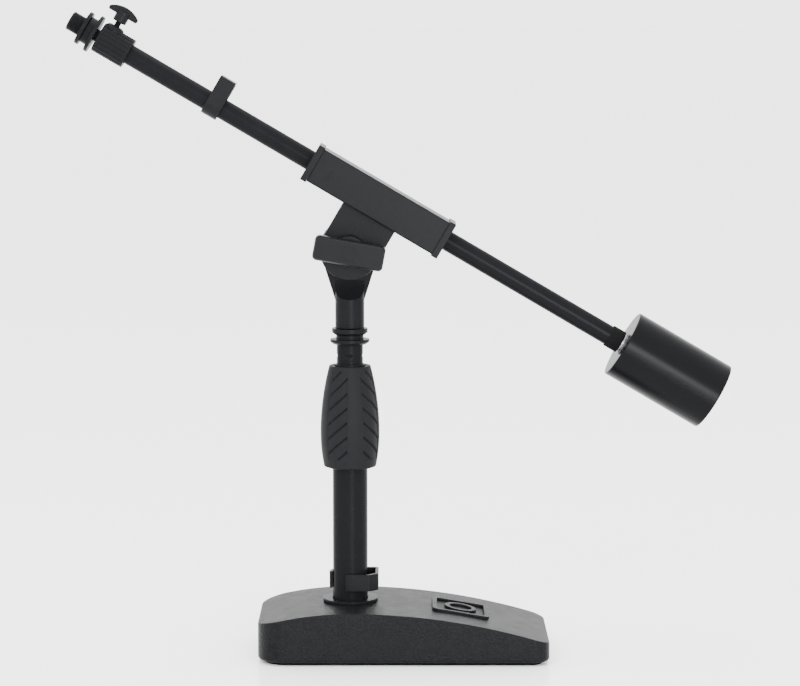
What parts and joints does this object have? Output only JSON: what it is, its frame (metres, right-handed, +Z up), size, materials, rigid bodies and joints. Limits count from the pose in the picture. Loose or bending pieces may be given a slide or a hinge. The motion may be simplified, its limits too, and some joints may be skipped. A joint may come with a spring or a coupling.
{
  "type": "boom microphone stand",
  "caption": "Short desktop microphone stand: cast arched base, telescoping column with twist clutch, tilting swivel head and a sliding counterweighted boom.",
  "frame": {"origin": "where the column axis meets the floor, on the underside of the rubber pad", "axes": "+X towards the counterweight and the low end of the base, +Y to the back, away from the tilt handle, +Z up along the column"},
  "size_m": [0.5273, 0.11, 0.5188],
  "materials": {
    "cast_iron_powder_coat": "fine textured black powder coat",
    "satin_black_tube": "satin black powder coat on steel tube",
    "gloss_black_paint": "smooth semi-gloss black paint on turned steel",
    "black_oxide_steel": "satin black finish on turned metal",
    "zinc_steel": "zinc plated",
    "matte_black_nylon": "matte moulded black plastic",
    "soft_grip": "matte soft-touch moulding",
    "rubber": "matte black rubber",
    "natural_nylon": "natural nylon",
    "fibre": "vulcanised fibre"
  },
  "bodies": {
    "stand": {"base_pad": "rubber", "base_casting": "cast_iron_powder_coat", "base_washer": "zinc_steel", "base_bolt": "zinc_steel", "column_flange": "satin_black_tube", "column_plug": "zinc_steel", "outer_tube": "satin_black_tube", "column_bush": "natural_nylon", "clutch_core": "matte_black_nylon", "clutch_collet": "matte_black_nylon"},
    "clutch": {"clutch_grip": "soft_grip"},
    "column_clip": {"column_clip": "matte_black_nylon"},
    "riser": {"inner_tube": "satin_black_tube", "riser_glide": "natural_nylon", "riser_stud": "black_oxide_steel"},
    "riser_ring": {"riser_lock_ring": "black_oxide_steel"},
    "head": {"swivel_base": "black_oxide_steel", "pivot_bolt": "zinc_steel", "friction_washer": "fibre"},
    "handle": {"tilt_handle": "matte_black_nylon", "handle_insert": "zinc_steel", "handle_washer": "black_oxide_steel"},
    "cradle": {"cradle_housing": "matte_black_nylon", "end_cap_tip_side": "matte_black_nylon", "end_cap_weight_side": "matte_black_nylon"},
    "sleeve": {"boom_sleeve": "natural_nylon"},
    "boom": {"boom_tube": "satin_black_tube", "boom_stop_sleeve": "rubber", "weight_stud": "zinc_steel", "tip_collar": "black_oxide_steel"},
    "weight": {"counterweight": "gloss_black_paint"},
    "boom_clip": {"boom_clip": "matte_black_nylon"},
    "mic_stud": {"mic_stud": "black_oxide_steel"},
    "mic_ring": {"mic_lock_ring": "black_oxide_steel"},
    "thumb_screw": {"thumb_knob": "matte_black_nylon", "thumb_rod": "black_oxide_steel"}
  },
  "joints": [
    {"name": "clutch_twist", "type": "hinge", "parent": "stand", "child": "clutch", "pos_m": [0, 0, 0.19], "axis": [0, 0, 1], "range_deg": [0, 120]},
    {"name": "column_clip_slide", "type": "slide", "parent": "stand", "child": "column_clip", "axis": [0, 0, 1], "range_m": [-0.0075, 0.083]},
    {"name": "riser_slide", "type": "slide", "parent": "stand", "child": "riser", "axis": [0, 0, 1], "range_m": [-0.014, 0.105]},
    {"name": "riser_ring_turn", "type": "hinge", "parent": "riser", "child": "riser_ring", "pos_m": [0, 0, 0.2605], "axis": [0, 0, 1], "continuous": true},
    {"name": "head_swivel", "type": "hinge", "parent": "riser", "child": "head", "pos_m": [0, 0, 0.274], "axis": [0, 0, 1], "continuous": true},
    {"name": "boom_tilt", "type": "hinge", "parent": "head", "child": "cradle", "pos_m": [0, 0, 0.3257], "axis": [0, 1, 0], "range_deg": [-80, 25]},
    {"name": "handle_turn", "type": "hinge", "parent": "head", "child": "handle", "pos_m": [0, 0, 0.3257], "axis": [0, -1, 0], "range_deg": [0, 360]},
    {"name": "boom_roll", "type": "hinge", "parent": "cradle", "child": "sleeve", "pos_m": [0.02287, 0, 0.36469], "axis": [0.8625, 0, -0.506], "continuous": true},
    {"name": "boom_slide", "type": "slide", "parent": "sleeve", "child": "boom", "axis": [0.8625, 0, -0.506], "range_m": [-0.15, 0.068]},
    {"name": "weight_turn", "type": "hinge", "parent": "boom", "child": "weight", "pos_m": [0.25403, 0, 0.22907], "axis": [0.8625, 0, -0.506], "continuous": true},
    {"name": "boom_clip_slide", "type": "slide", "parent": "boom", "child": "boom_clip", "axis": [0.8625, 0, -0.506], "range_m": [-0.068, 0.01]},
    {"name": "mic_stud_turn", "type": "hinge", "parent": "boom", "child": "mic_stud", "pos_m": [-0.20138, 0, 0.49625], "axis": [0.8625, 0, -0.506], "continuous": true},
    {"name": "mic_ring_turn", "type": "hinge", "parent": "mic_stud", "child": "mic_ring", "pos_m": [-0.20845, 0, 0.5004], "axis": [0.8625, 0, -0.506], "continuous": true},
    {"name": "thumb_screw_turn", "type": "hinge", "parent": "boom", "child": "thumb_screw", "pos_m": [-0.18005, 0, 0.50693], "axis": [0.506, 0, 0.8625], "continuous": true}
  ]
}
